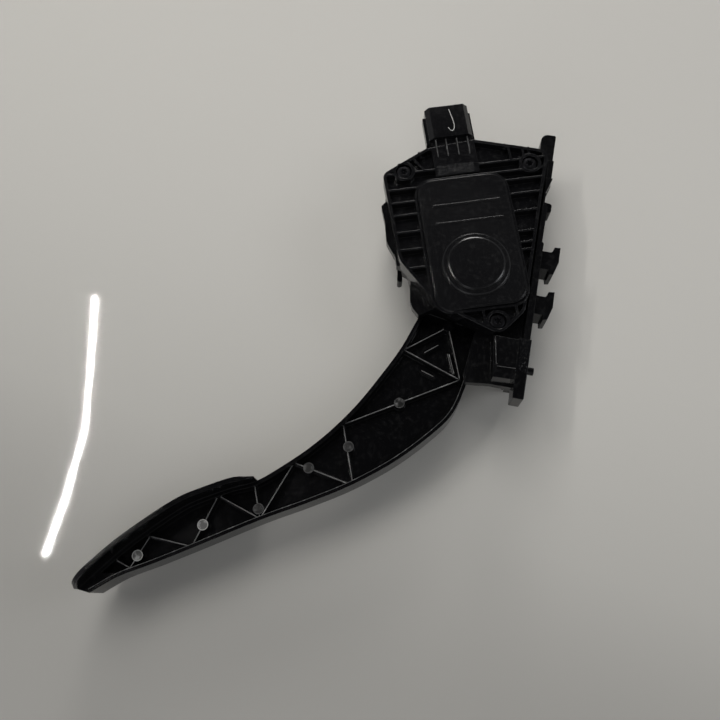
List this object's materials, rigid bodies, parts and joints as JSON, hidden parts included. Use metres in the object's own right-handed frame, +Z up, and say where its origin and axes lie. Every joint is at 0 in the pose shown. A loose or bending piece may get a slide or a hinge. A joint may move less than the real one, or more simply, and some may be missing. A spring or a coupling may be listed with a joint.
{
  "type": "accelerator pedal",
  "caption": "Hanging accelerator pedal: moulded bracket with hooks and ears, ribbed arm with foot plate, spring return and a contactless position sensor with plug.",
  "frame": {"origin": "on the mounting face, level with the pivot axis, on the mid plane of the pedal arm", "axes": "+Y forwards out of the mounting face into the bulkhead, +Z up, +X along the pivot axis towards the sensor lid"},
  "size_m": [0.0569, 0.205, 0.2951],
  "materials": {
    "bracket_nylon": "glass-filled nylon, satin black",
    "sensor_nylon": "glass-filled nylon, satin black",
    "lid_plastic": "smooth satin black",
    "screw_steel": "dull zinc",
    "plated_steel": "zinc plated",
    "bush_acetal": "natural bearing plastic",
    "board_green": "solder mask",
    "chip_black": "moulded epoxy",
    "component_tan": "ceramic parts",
    "pin_brass": "bright",
    "grey_acetal": "smooth",
    "stop_rubber": "matte",
    "arm_nylon": "glass-filled nylon, satin black",
    "shaft_steel": "ground",
    "magnet_dark": "sintered",
    "friction_tan": "matte",
    "spring_steel": "oiled wire"
  },
  "bodies": {
    "bracket": {"main_housing": "bracket_nylon", "sensor_housing": "sensor_nylon", "sensor_lid": "lid_plastic", "cover_screws": "screw_steel", "bolt_sleeves": "plated_steel", "near_bush": "bush_acetal", "far_bush": "bush_acetal", "circuit_board": "board_green", "hall_chips": "chip_black", "board_parts": "component_tan", "connector_pins": "pin_brass", "spring_seat": "grey_acetal", "rest_stop_pad": "stop_rubber", "full_stop_pad": "stop_rubber", "outer_spring": "spring_steel", "inner_spring": "spring_steel"},
    "pedal": {"pedal_arm": "arm_nylon", "pivot_shaft": "shaft_steel", "shaft_clip": "shaft_steel", "rotor_cup": "grey_acetal", "ring_magnet": "magnet_dark"},
    "slider": {"spring_slider": "grey_acetal", "friction_pads": "friction_tan"}
  },
  "joints": [
    {"name": "pedal_pivot", "type": "hinge", "parent": "bracket", "child": "pedal", "pos_m": [0, -0.0335, 0], "axis": [1, 0, 0], "range_deg": [0, 16], "stiffness_Nm_per_rad": 14, "springref_deg": -16.04},
    {"name": "slider_travel", "type": "slide", "parent": "bracket", "child": "slider", "axis": [0, -1, 0], "range_m": [0, 0.0088], "deforming": ["outer_spring", "inner_spring"]}
  ],
  "couplings": [
    {"joint": "slider_travel", "follows": "pedal_pivot", "m_per_rad": 0.03089}
  ]
}
